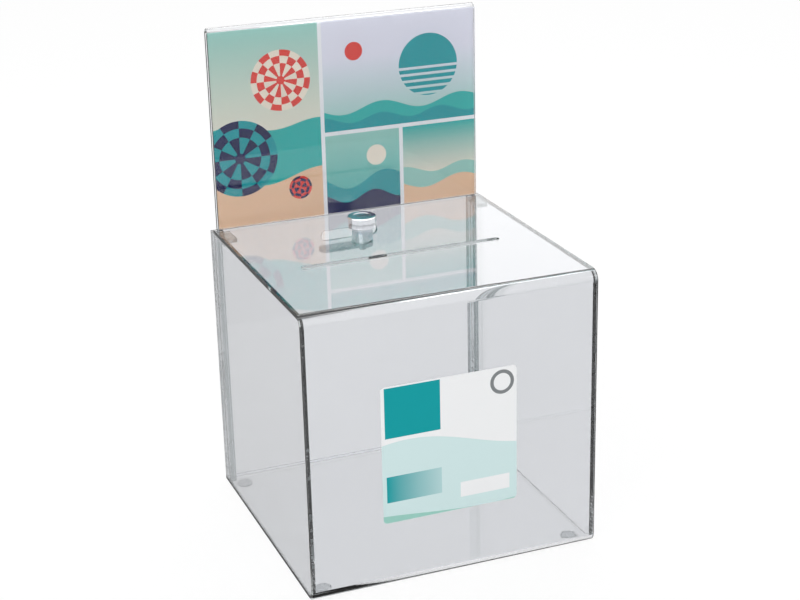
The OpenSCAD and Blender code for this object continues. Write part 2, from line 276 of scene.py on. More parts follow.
def cast_acrylic(sheets):
    """Cast acrylic, polished: clear and a little grey, so that each sheet dims what is behind it."""
    material, tree, place = new_finish("cast_acrylic")
    # Slow waves, a palm wide, bend the mirrored picture as a cast sheet does
    waves = add(tree, "ShaderNodeTexNoise", {"Vector": place, "Scale": 1 / (70 * MM), "Detail": 1.0})
    bump = add(tree, "ShaderNodeBump", {"Height": waves.outputs[0], "Strength": 0.06, "Distance": 0.3 * MM})
    # Wiping leaves faint dull patches
    smudge = add(tree, "ShaderNodeTexNoise", {"Vector": place, "Scale": 1 / (22 * MM), "Detail": 3.0})
    dull = add(tree, "ShaderNodeMapRange", {0: smudge.outputs[0], 1: 0.5, 2: 0.75, 3: 0.0, 4: 0.045})
    surface = add(tree, "ShaderNodeBsdfPrincipled", {
        "Base Color": sheets.tint,
        "Roughness": dull.outputs[0],
        "IOR": 1.49,
        "Transmission Weight": 1.0,
        "Normal": bump.outputs[0],
    })
    add(tree, "ShaderNodeOutputMaterial", {"Surface": surface.outputs[0]})
    return material


def polished_cut(sheets):
    """Sawn and flame polished acrylic edge: it gathers light, and looks grey green along the sheet."""
    material, tree, place = new_finish("flame_polished_acrylic_edge")
    # Saw marks about a millimetre apart survive the flame as a light ripple
    marks = add(tree, "ShaderNodeTexNoise", {"Vector": place, "Scale": 1 / (1.2 * MM), "Detail": 2.0})
    bump = add(tree, "ShaderNodeBump", {"Height": marks.outputs[0], "Strength": 0.25, "Distance": 0.05 * MM})
    haze = add(tree, "ShaderNodeMapRange", {0: marks.outputs[0], 1: 0.35, 2: 0.7, 3: 0.04, 4: 0.2})
    surface = add(tree, "ShaderNodeBsdfPrincipled", {
        "Base Color": sheets.cut_tint,
        "Roughness": haze.outputs[0],
        "IOR": 1.49,
        "Transmission Weight": 1.0,
        "Normal": bump.outputs[0],
    })
    add(tree, "ShaderNodeOutputMaterial", {"Surface": surface.outputs[0]})
    return material


def solvent_weld(sheets):
    """Solvent welded acrylic: clear where the solvent ran, with grey bubbles where it didn't."""
    material, tree, place = new_finish("solvent_welded_acrylic")
    # Flaws two to three millimetres across, in patches three centimetres long
    flaws = add(tree, "ShaderNodeTexNoise", {"Vector": place, "Scale": 1 / (2.5 * MM), "Detail": 3.0})
    patches = add(tree, "ShaderNodeTexNoise", {"Vector": place, "Scale": 1 / (30 * MM), "Detail": 1.0})
    both = add(tree, "ShaderNodeMath", {0: flaws.outputs[0], 1: patches.outputs[0]}, operation="MULTIPLY")
    mask = add(tree, "ShaderNodeMapRange", {0: both.outputs[0], 1: 0.27, 2: 0.33, 3: 0.0, 4: 1.0})
    colour = add(
        tree, "ShaderNodeMix", {0: mask.outputs[0], MIX_A: sheets.tint, MIX_B: sheets.bubble},
        data_type="RGBA",
    )
    haze = add(tree, "ShaderNodeMapRange", {0: mask.outputs[0], 1: 0.0, 2: 1.0, 3: 0.03, 4: 0.4})
    surface = add(tree, "ShaderNodeBsdfPrincipled", {
        "Base Color": colour.outputs[MIX_OUT],
        "Roughness": haze.outputs[0],
        "IOR": 1.49,
        "Transmission Weight": 1.0,
    })
    add(tree, "ShaderNodeOutputMaterial", {"Surface": surface.outputs[0]})
    return material


def clear_polyurethane():
    """Clear polyurethane foot: milky, soft and a little dusty."""
    material, tree, place = new_finish("clear_polyurethane")
    dust = add(tree, "ShaderNodeTexNoise", {"Vector": place, "Scale": 1 / (1.5 * MM), "Detail": 2.0})
    haze = add(tree, "ShaderNodeMapRange", {0: dust.outputs[0], 1: 0.3, 2: 0.7, 3: 0.2, 4: 0.4})
    surface = add(tree, "ShaderNodeBsdfPrincipled", {
        "Base Color": linear("#e3e7e8"),
        "Roughness": haze.outputs[0],
        "IOR": 1.5,
        "Transmission Weight": 0.8,
    })
    add(tree, "ShaderNodeOutputMaterial", {"Surface": surface.outputs[0]})
    return material


def bright_chrome(lock):
    """Bright chrome on a zinc casting: a near mirror, and threaded below the top sheet."""
    material, tree, place = new_finish("bright_chrome_plate")
    split = add(tree, "ShaderNodeSeparateXYZ", {0: place})
    top_inside = WRAP_HIGH.z - SHEET
    below = add(tree, "ShaderNodeMath", {0: split.outputs["Z"], 1: top_inside}, operation="LESS_THAN")
    thread = add(
        tree, "ShaderNodeTexWave", {"Vector": place, "Scale": WAVE_REPEAT / lock.thread_pitch},
        bands_direction="Z",
    )
    ridges = add(tree, "ShaderNodeMath", {0: thread.outputs[1], 1: below.outputs[0]}, operation="MULTIPLY")
    bump = add(tree, "ShaderNodeBump", {"Height": ridges.outputs[0], "Strength": 0.8, "Distance": 0.3 * MM})
    wipe = add(tree, "ShaderNodeTexNoise", {"Vector": place, "Scale": 1 / (4 * MM), "Detail": 3.0})
    haze = add(tree, "ShaderNodeMapRange", {0: wipe.outputs[0], 1: 0.35, 2: 0.7, 3: 0.05, 4: 0.16})
    surface = add(tree, "ShaderNodeBsdfPrincipled", {
        "Base Color": lock.chrome,
        "Metallic": 1.0,
        "Roughness": haze.outputs[0],
        "Normal": bump.outputs[0],
    })
    add(tree, "ShaderNodeOutputMaterial", {"Surface": surface.outputs[0]})
    return material


def turned_chrome(lock):
    """Chrome on a turned plug: fine rings about the keyway catch the light as a soft fan."""
    material, tree, place = new_finish("turned_chrome_plate")
    centred = add(tree, "ShaderNodeMapping", {"Vector": place, "Location": -LOCK_AXIS})
    rings = add(
        tree, "ShaderNodeTexWave", {"Vector": centred.outputs[0], "Scale": WAVE_REPEAT / RING_PITCH},
        wave_type="RINGS", rings_direction="Z",
    )
    bump = add(tree, "ShaderNodeBump", {"Height": rings.outputs[1], "Strength": 0.15, "Distance": 0.05 * MM})
    surface = add(tree, "ShaderNodeBsdfPrincipled", {
        "Base Color": lock.chrome,
        "Metallic": 1.0,
        "Roughness": 0.2,
        "Normal": bump.outputs[0],
    })
    add(tree, "ShaderNodeOutputMaterial", {"Surface": surface.outputs[0]})
    return material


def plated_metal(name, colour, grain, smooth, rough):
    """A plated or drawn metal whose gloss changes over grains of one size."""
    material, tree, place = new_finish(name)
    spangle = add(tree, "ShaderNodeTexNoise", {"Vector": place, "Scale": 1 / grain, "Detail": 3.0})
    haze = add(tree, "ShaderNodeMapRange", {0: spangle.outputs[0], 1: 0.3, 2: 0.7, 3: smooth, 4: rough})
    bump = add(tree, "ShaderNodeBump", {"Height": spangle.outputs[0], "Strength": 0.2, "Distance": 0.02 * MM})
    surface = add(tree, "ShaderNodeBsdfPrincipled", {
        "Base Color": colour,
        "Metallic": 1.0,
        "Roughness": haze.outputs[0],
        "Normal": bump.outputs[0],
    })
    add(tree, "ShaderNodeOutputMaterial", {"Surface": surface.outputs[0]})
    return material


def block(tree, place, corners, under, over):
    """Paint a rectangle of the print, between two corners in millimetres."""
    (left, foot), (right, head) = corners
    offset = add(
        tree, "ShaderNodeVectorMath", {0: place, 1: ((left + right) / 2, 0.0, (foot + head) / 2)},
        operation="SUBTRACT",
    )
    reach = add(tree, "ShaderNodeVectorMath", {0: offset.outputs[0]}, operation="ABSOLUTE")
    past = add(
        tree, "ShaderNodeVectorMath", {0: reach.outputs[0], 1: ((right - left) / 2, 1.0, (head - foot) / 2)},
        operation="SUBTRACT",
    )
    split = add(tree, "ShaderNodeSeparateXYZ", {0: past.outputs[0]})
    most = add(tree, "ShaderNodeMath", {0: split.outputs["X"], 1: split.outputs["Z"]}, operation="MAXIMUM")
    inside = add(tree, "ShaderNodeMath", {0: most.outputs[0], 1: 0.0}, operation="LESS_THAN")
    mix = add(tree, "ShaderNodeMix", {0: inside.outputs[0], MIX_A: under, MIX_B: over}, data_type="RGBA")
    return mix.outputs[MIX_OUT]


def disc(tree, place, centre, radius, under, over):
    """Paint a disc of the print."""
    away = add(
        tree, "ShaderNodeVectorMath", {0: place, 1: (centre[0], 0.0, centre[1])}, operation="DISTANCE"
    )
    inside = add(tree, "ShaderNodeMath", {0: away.outputs["Value"], 1: radius}, operation="LESS_THAN")
    mix = add(tree, "ShaderNodeMix", {0: inside.outputs[0], MIX_A: under, MIX_B: over}, data_type="RGBA")
    return mix.outputs[MIX_OUT]


def fade(tree, place, axis, start, end, first, last):
    """Blend from one colour to another along an axis of the print."""
    split = add(tree, "ShaderNodeSeparateXYZ", {0: place})
    share = add(tree, "ShaderNodeMapRange", {0: split.outputs[axis], 1: start, 2: end, 3: 0.0, 4: 1.0})
    mix = add(tree, "ShaderNodeMix", {0: share.outputs[0], MIX_A: first, MIX_B: last}, data_type="RGBA")
    return mix.outputs[MIX_OUT]


def swell(tree, place, level, height, wave_length, start, under, over):
    """Paint all that lies below a gentle wave."""
    split = add(tree, "ShaderNodeSeparateXYZ", {0: place})
    turn = add(
        tree, "ShaderNodeMath", {0: split.outputs["X"], 1: math.tau / wave_length, 2: start},
        operation="MULTIPLY_ADD",
    )
    wave = add(tree, "ShaderNodeMath", {0: turn.outputs[0]}, operation="SINE")
    crest = add(tree, "ShaderNodeMath", {0: wave.outputs[0], 1: height, 2: level}, operation="MULTIPLY_ADD")
    below = add(tree, "ShaderNodeMath", {0: split.outputs["Z"], 1: crest.outputs[0]}, operation="LESS_THAN")
    mix = add(tree, "ShaderNodeMix", {0: below.outputs[0], MIX_A: under, MIX_B: over}, data_type="RGBA")
    return mix.outputs[MIX_OUT]


def swells(tree, place, waves, inks, under):
    """Paint a row of waves, each over the one before it."""
    for level, height, wave_length, start, ink in waves:
        under = swell(tree, place, level, height, wave_length, start, under, getattr(inks, ink))
    return under


def parasol(tree, place, centre, radius, panels, first, second, under):
    """Paint a parasol seen from above: panels in two colours that change places in a ring."""
    offset = add(
        tree, "ShaderNodeVectorMath", {0: place, 1: (centre[0], 0.0, centre[1])}, operation="SUBTRACT"
    )
    away = add(tree, "ShaderNodeVectorMath", {0: offset.outputs[0]}, operation="LENGTH").outputs["Value"]
    split = add(tree, "ShaderNodeSeparateXYZ", {0: offset.outputs[0]})
    angle = add(
        tree, "ShaderNodeMath", {0: split.outputs["Z"], 1: split.outputs["X"]}, operation="ARCTAN2"
    )
    turn = add(tree, "ShaderNodeMath", {0: angle.outputs[0], 1: panels / 2}, operation="MULTIPLY")
    wave = add(tree, "ShaderNodeMath", {0: turn.outputs[0]}, operation="SINE")
    stripe = add(tree, "ShaderNodeMath", {0: wave.outputs[0], 1: 0.0}, operation="GREATER_THAN")
    band = add(
        tree, "ShaderNodeMath", {0: away, 1: SWAP_RING * radius, 2: SWAP_HALF * radius},
        operation="COMPARE",
    )
    swap = add(tree, "ShaderNodeMath", {0: stripe.outputs[0], 1: band.outputs[0]}, operation="SUBTRACT")
    side = add(tree, "ShaderNodeMath", {0: swap.outputs[0]}, operation="ABSOLUTE")
    panel = add(tree, "ShaderNodeMix", {0: side.outputs[0], MIX_A: first, MIX_B: second}, data_type="RGBA")
    cap = disc(tree, place, centre, CAP * radius, panel.outputs[MIX_OUT], first)
    return disc(tree, place, centre, radius, under, cap)


def striped_sun(tree, place, centre, radius, under, over):
    """Paint a disc whose lower half is cut into bars."""
    split = add(tree, "ShaderNodeSeparateXYZ", {0: place})
    step = add(tree, "ShaderNodeMath", {0: split.outputs["Z"], 1: BAR_PITCH}, operation="DIVIDE")
    share = add(tree, "ShaderNodeMath", {0: step.outputs[0]}, operation="FRACT")
    bar = add(tree, "ShaderNodeMath", {0: share.outputs[0], 1: BAR_GAP}, operation="GREATER_THAN")
    upper = add(tree, "ShaderNodeMath", {0: split.outputs["Z"], 1: centre[1]}, operation="GREATER_THAN")
    solid = add(tree, "ShaderNodeMath", {0: bar.outputs[0], 1: upper.outputs[0]}, operation="MAXIMUM")
    cut = add(tree, "ShaderNodeMix", {0: solid.outputs[0], MIX_A: under, MIX_B: over}, data_type="RGBA")
    return disc(tree, place, centre, radius, under, cut.outputs[MIX_OUT])


def print_place(tree, place, low):
    """Where a point lies on a print, in millimetres from the lower left corner of its paper."""
    corner = (-low.x / MM, 0.0, -low.z / MM)
    mapping = add(
        tree, "ShaderNodeMapping", {"Vector": place, "Location": corner, "Scale": (1 / MM, 0.0, 1 / MM)}
    )
    return mapping.outputs[0]


def set_paper(tree, place, art, paper, middle_y, gloss):
    """Ink on the front of a sheet of paper and none on its back, with a faint fibre in both."""
    split = add(tree, "ShaderNodeSeparateXYZ", {0: place})
    front = add(tree, "ShaderNodeMath", {0: split.outputs["Y"], 1: middle_y}, operation="LESS_THAN")
    side = add(tree, "ShaderNodeMix", {0: front.outputs[0], MIX_A: paper, MIX_B: art}, data_type="RGBA")
    # Fibres are drawn 0.6 mm long, coarser than they are, so that they show
    fibre = add(tree, "ShaderNodeTexNoise", {"Vector": place, "Scale": 1 / (0.6 * MM), "Detail": 3.0})
    bump = add(tree, "ShaderNodeBump", {"Height": fibre.outputs[0], "Strength": 0.15, "Distance": 0.02 * MM})
    haze = add(tree, "ShaderNodeMapRange", {0: fibre.outputs[0], 1: 0.3, 2: 0.7, 3: gloss, 4: gloss + 0.1})
    surface = add(tree, "ShaderNodeBsdfPrincipled", {
        "Base Color": side.outputs[MIX_OUT],
        "Specular IOR Level": 0.1,
        "Roughness": haze.outputs[0],
        "Normal": bump.outputs[0],
    })
    add(tree, "ShaderNodeOutputMaterial", {"Surface": surface.outputs[0]})


def coated_poster(inks):
    """Coated paper, offset printed: seaside pictures in teal, navy and coral, with white gaps."""
    material, tree, place = new_finish("offset_printed_coated_paper")
    spot = print_place(tree, place, POSTER_LOW)
    tall = fade(tree, spot, "Z", *TALL_SKY, inks.cream, inks.sky)
    tall = swells(tree, spot, TALL_WAVES, inks, tall)
    for centre, radius, panels, first, second in PARASOLS:
        pair = getattr(inks, first), getattr(inks, second)
        tall = parasol(tree, spot, centre, radius, panels, *pair, tall)
    wide = fade(tree, spot, "Z", *WIDE_SKY, inks.sky, inks.lavender)
    wide = striped_sun(tree, spot, *STRIPED_SUN, wide, inks.teal)
    wide = disc(tree, spot, *RED_SUN, wide, inks.coral)
    wide = swells(tree, spot, WIDE_WAVES, inks, wide)
    left = fade(tree, spot, "Z", *LEFT_SKY, inks.turquoise, inks.sky)
    left = disc(tree, spot, *PALE_SUN, left, inks.cream)
    left = swells(tree, spot, LEFT_WAVES, inks, left)
    right = fade(tree, spot, "Z", *RIGHT_SKY, inks.cream, inks.turquoise)
    right = swells(tree, spot, RIGHT_WAVES, inks, right)
    art = block(tree, spot, TALL_PICTURE, inks.paper, tall)
    art = block(tree, spot, WIDE_PICTURE, art, wide)
    art = block(tree, spot, LEFT_TILE, art, left)
    art = block(tree, spot, RIGHT_TILE, art, right)
    set_paper(tree, place, art, inks.paper, (POSTER_LOW.y + POSTER_HIGH.y) / 2, POSTER_GLOSS)
    return material


def printed_label(inks):
    """Satin label paper with flat blocks of teal, a pale wave, a bare panel and a plain grey ring."""
    material, tree, place = new_finish("printed_satin_label")
    spot = print_place(tree, place, LABEL_LOW)
    art = swells(tree, spot, LABEL_WAVES, inks, inks.paper)
    art = block(tree, spot, TEAL_BLOCK, art, inks.teal)
    bar = fade(tree, spot, "X", *BAR_FADE, inks.teal, inks.mint)
    art = block(tree, spot, FADED_BAR, art, bar)
    art = block(tree, spot, BARE_PANEL, art, inks.paper)
    art = disc(tree, spot, RING_CENTRE, RING_OUTER, art, inks.stamp)
    art = disc(tree, spot, RING_CENTRE, RING_INNER, art, inks.paper)
    set_paper(tree, place, art, inks.paper, (LABEL_LOW.y + LABEL_HIGH.y) / 2, LABEL_GLOSS)
    return material


def sheet_finishes(sheets):
    """The three finishes of an acrylic piece, made once: clear, then in the places CUT and GLUED."""
    names = ("cast_acrylic", "flame_polished_acrylic_edge", "solvent_welded_acrylic")
    makers = (cast_acrylic, polished_cut, solvent_weld)
    return [bpy.data.materials.get(name) or maker(sheets) for name, maker in zip(names, makers)]


def box_between(bm, low, high):
    """A cuboid from corner to corner. Returns its vertices."""
    verts = bmesh.ops.create_cube(bm, size=1.0)["verts"]
    bmesh.ops.scale(bm, vec=high - low, verts=verts)
    bmesh.ops.translate(bm, vec=(low + high) / 2, verts=verts)
    return verts


def edges_along(bm, verts, axis):
    """The edges between these vertices that run along an axis."""
    chosen = set(verts)
    return [
        e for e in bm.edges
        if chosen.issuperset(e.verts) and abs((e.verts[1].co - e.verts[0].co).normalized()[axis]) > ALIGNED
    ]


def round_edges(bm, edges, radius, segments):
    bmesh.ops.bevel(
        bm, geom=edges, offset=radius, offset_type="OFFSET", segments=segments, profile=0.5,
        affect="EDGES", clamp_overlap=False, material=-1,
    )
    bmesh.ops.remove_doubles(bm, verts=bm.verts, dist=MERGE)


def slot_cutter(low, high, through):
    """A bar with round ends that mills a slot along one axis."""
    bm = bmesh.new()
    verts = box_between(bm, low, high)
    widths = [w for i, w in enumerate(high - low) if i != through]
    round_edges(bm, edges_along(bm, verts, through), min(widths) / 2 * SLOT_ROUND, SLOT_SEGMENTS)
    return bm


def make_piece(name, bm, materials):
    """Turn a mesh under work into an object with its materials."""
    mesh = bpy.data.meshes.new(name)
    bm.to_mesh(mesh)
    bm.free()
    for material in materials:
        mesh.materials.append(material)
    piece = bpy.data.objects.new(name, mesh)
    bpy.context.scene.collection.objects.link(piece)
    return piece


def bent_skin(outline, half_width, radius, segments, outward):
    """The outer skin of one sheet: an outline in y and z, drawn out along x and bent at its corners."""
    bm = bmesh.new()
    start = [bm.verts.new((-half_width, y, z)) for y, z in outline]
    edges = [bm.edges.new(pair) for pair in zip(start, start[1:])]
    grown = bmesh.ops.extrude_edge_only(bm, edges=edges)["geom"]
    moved = [part for part in grown if isinstance(part, bmesh.types.BMVert)]
    bmesh.ops.translate(bm, vec=(2 * half_width, 0.0, 0.0), verts=moved)
    bends = [e for e in bm.edges if len(e.link_faces) == 2]
    round_edges(bm, bends, radius, segments)
    bmesh.ops.recalc_face_normals(bm, faces=bm.faces)
    bm.normal_update()
    outermost = max(bm.faces, key=lambda f: (f.calc_center_median().dot(outward), f.calc_area()))
    if outermost.normal.dot(outward) < 0:
        bmesh.ops.reverse_faces(bm, faces=bm.faces)
    return bm


def thicken_and_mill(piece, thickness, cutters):
    """Give a skin its thickness inwards and mill its holes. Rims and hole walls are cut faces."""
    solid = piece.modifiers.new("thickness", "SOLIDIFY")
    solid.thickness = thickness
    solid.offset = -1.0
    solid.use_even_offset = True
    solid.material_offset_rim = CUT
    tools = []
    for cutter in cutters:
        for face in cutter.faces:
            face.material_index = CUT
        tools.append(make_piece("mill", cutter, piece.data.materials))
        mill = piece.modifiers.new("mill", "BOOLEAN")
        mill.operation = "DIFFERENCE"
        mill.solver = "EXACT"
        mill.object = tools[-1]
    graph = bpy.context.evaluated_depsgraph_get()
    mesh = bpy.data.meshes.new_from_object(piece.evaluated_get(graph))
    piece.modifiers.clear()
    piece.data = mesh
    for tool in tools:
        bpy.data.objects.remove(tool)


def polish(piece, arris):
    """Break every sharp edge, and shade bends smooth and flats flat."""
    bm = bmesh.new()
    bm.from_mesh(piece.data)
    bmesh.ops.remove_doubles(bm, verts=bm.verts, dist=MERGE / 2)
    bm.normal_update()
    sharp = [e for e in bm.edges if e.is_manifold and e.calc_face_angle() > SHARP]
    bmesh.ops.bevel(
        bm, geom=sharp, offset=arris, offset_type="OFFSET", segments=2, profile=0.5,
        affect="EDGES", clamp_overlap=True, material=-1,
    )
    bm.to_mesh(piece.data)
    bm.free()
    # Marking sharp edges turns every face smooth, so the flats are set after it
    piece.data.set_sharp_from_angle(angle=SHARP)
    for face in piece.data.polygons:
        face.use_smooth = max(abs(c) for c in face.normal) < ALIGNED


def seat(piece, body, slot, *nodes):
    """Let a piece ride on its body and stand for its nodes."""
    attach(piece, body)
    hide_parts(*nodes)


def dress(node, material):
    """Give a node that keeps its own shape its finish."""
    piece = frame["nodes"][node]
    if not piece.material_slots:
        piece.data.materials.append(material)
    for place in piece.material_slots:
        place.link = "OBJECT"
        place.material = material


class BALLOT_BOX_OT_wrap_sheet(Operator):
    """Bend the top, front and floor from one sheet, with the ballot slot and the lock's hole"""

    bl_idname = "ballot_box.wrap_sheet"
    bl_label = "Wrap Sheet"

    def execute(self, context):
        sheets = context.scene.ballot_sheets
        front, floor, top = WRAP_LOW.y + HAIR, WRAP_LOW.z + HAIR, WRAP_HIGH.z - HAIR
        outline = [(TOP_REAR, top), (front, top), (front, floor), (WRAP_HIGH.y, floor)]
        bm = bent_skin(outline, WRAP_HIGH.x, sheets.bend_radius, BEND_SEGMENTS, Vector((0, 0, 1)))
        piece = make_piece("bent_wrap_sheet", bm, sheet_finishes(sheets))
        half = Vector((sheets.slot_length, sheets.slot_width, TOP_MILL)) / 2
        centre = Vector((0.0, WRAP_LOW.y + sheets.slot_back, WRAP_HIGH.z - SHEET / 2))
        hole = bmesh.new()
        verts = bmesh.ops.create_cone(
            hole, cap_ends=True, segments=64, radius1=sheets.hole_radius, radius2=sheets.hole_radius,
            depth=TOP_MILL,
        )["verts"]
        for vert in verts:
            vert.co.x = max(-sheets.hole_flat, min(sheets.hole_flat, vert.co.x))
        bmesh.ops.translate(hole, vec=(LOCK_AXIS.x, LOCK_AXIS.y, centre.z), verts=verts)
        bmesh.ops.remove_doubles(hole, verts=hole.verts, dist=MERGE)
        slot = slot_cutter(centre - half, centre + half, Z_AXIS)
        thicken_and_mill(piece, SHEET - 2 * HAIR, [slot, hole])
        polish(piece, sheets.arris)
        seat(piece, "box", "acrylic", "wrap_sheet")
        return {"FINISHED"}


class BALLOT_BOX_OT_side_panels(Operator):
    """Glue a side panel into each end of the wrap, its front corners round as the bends are"""

    bl_idname = "ballot_box.side_panels"
    bl_label = "Side Panels"

    def execute(self, context):
        sheets = context.scene.ballot_sheets
        for node in ("side_panel_left", "side_panel_right"):
            low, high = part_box(node)
            low, high = low + Vector((0.0, SEAM, SEAM)), high - Vector((0.0, 0.0, SEAM))
            bm = bmesh.new()
            verts = box_between(bm, low, high)
            front = [v for v in verts if v.co.y < 0]
            round_edges(bm, edges_along(bm, front, X_AXIS), sheets.bend_radius - SHEET, PANEL_SEGMENTS)
            piece = make_piece(node + "_acrylic", bm, sheet_finishes(sheets))
            for face in piece.data.polygons:
                if abs(face.normal.x) < ALIGNED:
                    face.material_index = CUT if face.normal.y > ALIGNED else GLUED
            polish(piece, sheets.arris)
            seat(piece, "box", "acrylic", node)
        return {"FINISHED"}


class BALLOT_BOX_OT_guides(Operator):
    """Glue in the four strips that guide the door and the two corner blocks"""

    bl_idname = "ballot_box.guides"
    bl_label = "Guides and Blocks"

    def execute(self, context):
        sheets = context.scene.ballot_sheets
        strips = [f"{end}_guide_{side}" for end in ("front", "rear") for side in ("left", "right")]
        for node in strips + ["corner_block_left", "corner_block_right"]:
            low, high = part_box(node)
            inset = Vector((SEAM, 0.0, SEAM))
            bm = bmesh.new()
            box_between(bm, low + inset, high - inset)
            piece = make_piece(node + "_acrylic", bm, sheet_finishes(sheets))
            outer = 1 if low.x > 0 else -1
            for face in piece.data.polygons:
                face.material_index = GLUED if face.normal.x * outer > ALIGNED else CUT
            polish(piece, sheets.arris)
            seat(piece, "box", "acrylic", node)
        return {"FINISHED"}


class BALLOT_BOX_OT_door(Operator):
    """Fold the door and the sign's pocket from one sheet, with the slot that the cam turns into"""

    bl_idname = "ballot_box.door"
    bl_label = "Door and Pocket"

    def execute(self, context):
        sheets = context.scene.ballot_sheets
        back, flap, top = DOOR_HIGH.y, DOOR_LOW.y, DOOR_HIGH.z
        outline = [(back, DOOR_LOW.z), (back, top), (flap, top), (flap, FLAP_FOOT)]
        fold_radius = (back - flap) / 2 * FOLD_ROUND
        bm = bent_skin(outline, DOOR_HIGH.x, fold_radius, FOLD_SEGMENTS, Vector((0, 1, 0)))
        piece = make_piece("folded_door_sheet", bm, sheet_finishes(sheets))
        half = Vector((sheets.keeper_length, DOOR_MILL, sheets.keeper_height)) / 2
        centre = Vector((0.0, back - SHEET / 2, (CAM_LOW.z + CAM_HIGH.z) / 2))
        thicken_and_mill(piece, SHEET, [slot_cutter(centre - half, centre + half, Y_AXIS)])
        polish(piece, sheets.arris)
        seat(piece, "door", "acrylic", "door_sheet")
        return {"FINISHED"}


class BALLOT_BOX_OT_feet(Operator):
    """Stick four clear feet under the floor"""

    bl_idname = "ballot_box.feet"
    bl_label = "Feet"

    def execute(self, context):
        low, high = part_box("bumper_feet")
        bm = bmesh.new()
        for x in (low.x + FOOT_RADIUS, high.x - FOOT_RADIUS):
            for y in (low.y + FOOT_RADIUS, high.y - FOOT_RADIUS):
                verts = bmesh.ops.create_cone(
                    bm, cap_ends=True, segments=48, radius1=FOOT_TIP, radius2=FOOT_RADIUS,
                    depth=high.z - low.z,
                )["verts"]
                bmesh.ops.translate(bm, vec=(x, y, (low.z + high.z) / 2), verts=verts)
        piece = make_piece("clear_bumper_feet", bm, [clear_polyurethane()])
        polish(piece, FOOT_ROUND)
        seat(piece, "box", "clear_rubber", "bumper_feet")
        return {"FINISHED"}


class BALLOT_BOX_OT_papers(Operator):
    """Print the label on the front and the poster in the pocket"""

    bl_idname = "ballot_box.papers"
    bl_label = "Label and Poster"

    def execute(self, context):
        inks = context.scene.ballot_inks
        dress("front_label", printed_label(inks))
        dress("poster", coated_poster(inks))
        return {"FINISHED"}


class BALLOT_BOX_OT_lock(Operator):
    """Finish the metal parts of the cam lock"""

    bl_idname = "ballot_box.lock"
    bl_label = "Cam Lock"

    def execute(self, context):
        lock = context.scene.ballot_lock
        # Bright zinc shows a fine spangle and a soft, bluish gleam
        zinc = plated_metal("bright_zinc_plate", lock.zinc, 1.5 * MM, 0.22, 0.4)
        dress("lock_housing", bright_chrome(lock))
        dress("lock_plug", turned_chrome(lock))
        for node in ("lock_washer", "lock_nut", "stop_washer", "cam", "cam_screw_washer", "cam_screw"):
            dress(node, zinc)
        # Stamped brass is warm, with dull faces
        dress("wafers", plated_metal("stamped_brass", lock.brass, 0.8 * MM, 0.25, 0.45))
        # Drawn wire is grey and smooth
        dress("wafer_springs", plated_metal("drawn_spring_steel", lock.steel, 0.3 * MM, 0.25, 0.35))
        return {"FINISHED"}


def aim(place, target):
    """A lamp's turn and place, so that it shines at a point."""
    look = Vector(target) - Vector(place)
    return Matrix.Translation(place) @ look.to_track_quat("-Z", "Y").to_matrix().to_4x4()


def soft_lamp(name, place, size, power):
    lamp = bpy.data.lights.new(name, "AREA")
    lamp.shape = "RECTANGLE"
    lamp.size, lamp.size_y = size
    lamp.energy = power
    holder = bpy.data.objects.new(name, lamp)
    holder.matrix_world = aim(place, LAMP_TARGET)
    holder.visible_camera = False
    bpy.context.scene.collection.objects.link(holder)


def studio_camera(stage):
    """The camera at the photograph's angle, built from its turn, tilt and roll."""
    az, el, roll = stage.azimuth, stage.elevation, stage.roll
    back = Vector((math.sin(az) * math.cos(el), -math.cos(az) * math.cos(el), math.sin(el)))
    right = Vector((0, 0, 1)).cross(back).normalized()
    up = back.cross(right)
    across = right * math.cos(roll) + up * math.sin(roll)
    upward = up * math.cos(roll) - right * math.sin(roll)
    data = bpy.data.cameras.new("studio_camera")
    data.lens = stage.lens
    data.sensor_width = 36.0
    data.clip_start, data.clip_end = 0.01, 100.0
    camera = bpy.data.objects.new("studio_camera", data)
    turn = Matrix((across, upward, back)).transposed().to_4x4()
    camera.matrix_world = Matrix.Translation(stage.place) @ turn
    bpy.context.scene.collection.objects.link(camera)
    bpy.context.scene.camera = camera


def studio_floor():
    """A white floor that keeps a faint shadow, and is white to the camera and through clear sheets."""
    material = bpy.data.materials.new("white_studio_floor")
    material.use_nodes = True
    tree = material.node_tree
    tree.nodes.clear()
    path = add(tree, "ShaderNodeLightPath")
    sheen = add(
        tree, "ShaderNodeMath",
        {0: path.outputs["Is Glossy Ray"], 1: path.outputs["Is Transmission Ray"]}, operation="ADD",
    )
    seen = add(
        tree, "ShaderNodeMath", {0: path.outputs["Is Camera Ray"], 1: sheen.outputs[0]},
        operation="ADD", use_clamp=True,
    )
    share = add(tree, "ShaderNodeMath", {0: seen.outputs[0], 1: FLOOR_CLEAN}, operation="MULTIPLY")
    matt = add(tree, "ShaderNodeBsdfDiffuse", {"Color": linear("#f2f2f2")})
    # Dimmer in reflections, so that a shiny sheet does not wash out what lies behind it
    bounced = add(
        tree, "ShaderNodeMath", {0: path.outputs["Is Glossy Ray"], 1: path.outputs["Is Transmission Ray"]},
        operation="SUBTRACT", use_clamp=True,
    )
    shine = add(tree, "ShaderNodeMix", {0: bounced.outputs[0], 2: FLOOR_GLOW, 3: FLOOR_MIRRORED})
    glow = add(tree, "ShaderNodeEmission", {"Strength": shine.outputs[0]})
    both = add(tree, "ShaderNodeMixShader", {0: share.outputs[0], 1: matt.outputs[0], 2: glow.outputs[0]})
    add(tree, "ShaderNodeOutputMaterial", {"Surface": both.outputs[0]})
    bm = bmesh.new()
    bmesh.ops.create_grid(bm, x_segments=1, y_segments=1, size=5.0)
    floor = make_piece("studio_floor", bm, [material])


